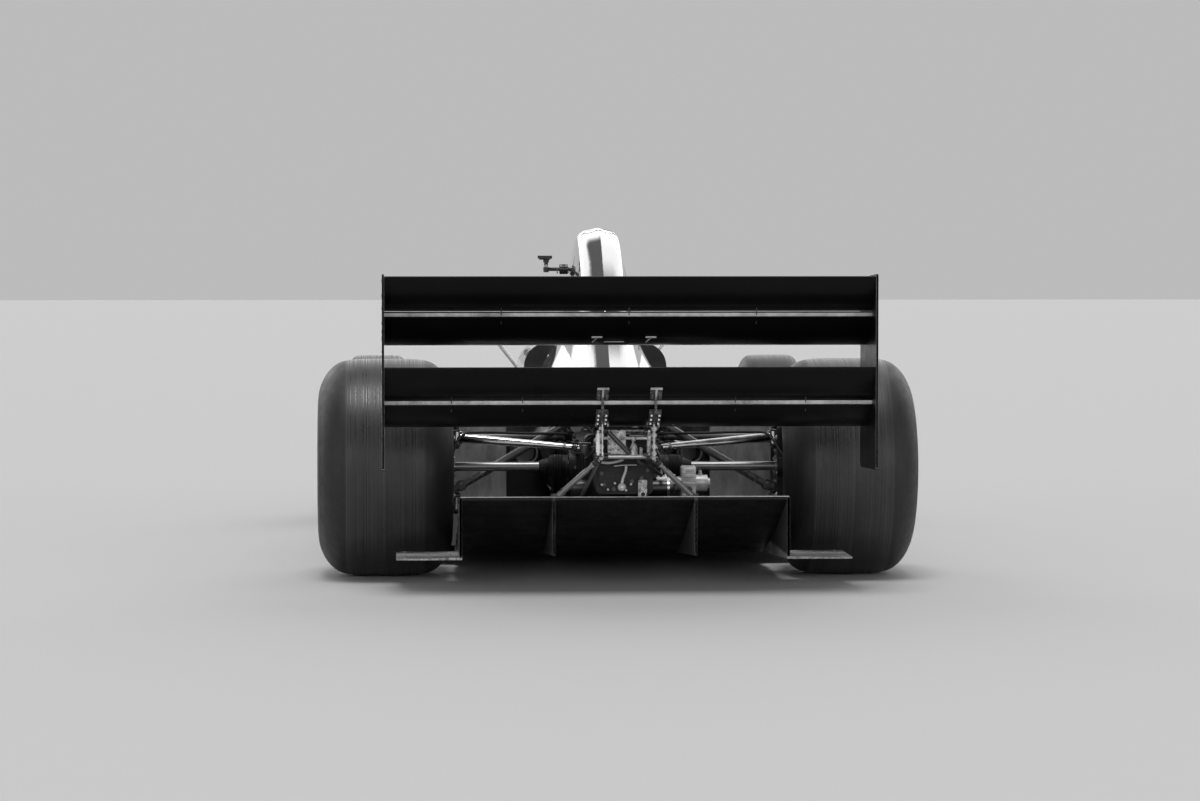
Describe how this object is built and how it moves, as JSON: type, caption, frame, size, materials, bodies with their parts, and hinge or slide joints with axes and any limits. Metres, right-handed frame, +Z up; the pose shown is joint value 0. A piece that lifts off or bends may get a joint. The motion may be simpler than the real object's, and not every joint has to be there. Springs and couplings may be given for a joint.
{
  "type": "open wheel racing car",
  "caption": "Single seat open wheel racing car with slick tyres, tall two tier rear wing, diffuser, side pods and exposed gearbox and suspension.",
  "frame": {"origin": "on the ground, midway between the front and rear ends, on the centre plane", "axes": "+Z up, the nose points along -Y, +X is the car's left"},
  "size_m": [1.77, 4.27, 1.0384],
  "materials": {
    "body_gloss": "gloss grey paint on moulded panels",
    "carbon_gloss": "gloss black lacquered composite",
    "tyre": "slick rubber, scuffed tread",
    "rim": "dark anodised cast alloy",
    "hub_steel": "machined steel",
    "upright_alloy": "dark coated casting",
    "arm_steel": "polished plated steel",
    "gearbox_cast": "dark protective coating on a casting",
    "engine_cast": "as cast alloy",
    "actuator_alloy": "machined alloy",
    "exhaust_steel": "heat dulled steel",
    "radiator_core": "black core",
    "seat_shell": "bare matt composite",
    "steering_grip": "dark grip",
    "screen": "tinted clear sheet",
    "bracket_alloy": "satin black bracket"
  },
  "bodies": {
    "chassis": {"tub": "body_gloss", "nose_cone": "body_gloss", "engine_cover": "body_gloss", "side_pod_left": "body_gloss", "side_pod_right": "body_gloss", "radiator_left": "radiator_core", "radiator_right": "radiator_core", "floor": "carbon_gloss", "diffuser": "carbon_gloss", "engine": "engine_cast", "gearbox": "gearbox_cast", "shift_actuator": "actuator_alloy", "exhausts": "exhaust_steel", "rear_wing_lower_main": "carbon_gloss", "rear_wing_lower_flap": "carbon_gloss", "rear_wing_upper_main": "carbon_gloss", "rear_wing_upper_flap": "carbon_gloss", "rear_endplates": "carbon_gloss", "wing_pillars": "bracket_alloy", "front_wing_main": "carbon_gloss", "front_wing_flaps": "carbon_gloss", "front_endplates": "carbon_gloss", "rear_upright_left": "upright_alloy", "rear_upright_right": "upright_alloy", "rear_arms_left": "arm_steel", "rear_arms_right": "arm_steel", "front_arms_left": "arm_steel", "front_arms_right": "arm_steel", "rack_housing": "bracket_alloy", "seat": "seat_shell", "windscreen": "screen", "camera_arm": "bracket_alloy", "mirrors": "carbon_gloss"},
    "knuckle_left": {"front_knuckle_left": "upright_alloy"},
    "knuckle_right": {"front_knuckle_right": "upright_alloy"},
    "rack": {"track_rods": "arm_steel"},
    "steering_column": {"steering_wheel": "steering_grip"},
    "wheel_front_left": {"tyre_front_left": "tyre", "rim_front_left": "rim", "hub_front_left": "hub_steel"},
    "wheel_front_right": {"tyre_front_right": "tyre", "rim_front_right": "rim", "hub_front_right": "hub_steel"},
    "wheel_rear_left": {"tyre_rear_left": "tyre", "rim_rear_left": "rim", "hub_rear_left": "hub_steel"},
    "wheel_rear_right": {"tyre_rear_right": "tyre", "rim_rear_right": "rim", "hub_rear_right": "hub_steel"}
  },
  "joints": [
    {"name": "wheel_rear_left_spin", "type": "hinge", "parent": "chassis", "child": "wheel_rear_left", "pos_m": [0.685, 1.365, 0.3225], "axis": [1, 0, 0], "continuous": true},
    {"name": "steer_left", "type": "hinge", "parent": "chassis", "child": "knuckle_left", "pos_m": [0.65, -1.235, 0.2925], "axis": [0, 0, 1], "range_deg": [-18, 18]},
    {"name": "wheel_front_left_spin", "type": "hinge", "parent": "knuckle_left", "child": "wheel_front_left", "pos_m": [0.71, -1.235, 0.2925], "axis": [1, 0, 0], "continuous": true},
    {"name": "wheel_rear_right_spin", "type": "hinge", "parent": "chassis", "child": "wheel_rear_right", "pos_m": [-0.685, 1.365, 0.3225], "axis": [1, 0, 0], "continuous": true},
    {"name": "steer_right", "type": "hinge", "parent": "chassis", "child": "knuckle_right", "pos_m": [-0.65, -1.235, 0.2925], "axis": [0, 0, 1], "range_deg": [-18, 18]},
    {"name": "wheel_front_right_spin", "type": "hinge", "parent": "knuckle_right", "child": "wheel_front_right", "pos_m": [-0.71, -1.235, 0.2925], "axis": [1, 0, 0], "continuous": true},
    {"name": "rack_slide", "type": "slide", "parent": "chassis", "child": "rack", "axis": [1, 0, 0], "range_m": [-0.035, 0.035]},
    {"name": "steering_wheel_turn", "type": "hinge", "parent": "chassis", "child": "steering_column", "pos_m": [0, -0.59, 0.515], "axis": [0, 0.9703, 0.2419], "range_deg": [-181, 181]}
  ],
  "couplings": [
    {"joint": "steer_right", "follows": "steer_left", "ratio": 1},
    {"joint": "rack_slide", "follows": "steer_left", "m_per_rad": 0.1082},
    {"joint": "steering_wheel_turn", "follows": "steer_left", "ratio": 10}
  ]
}
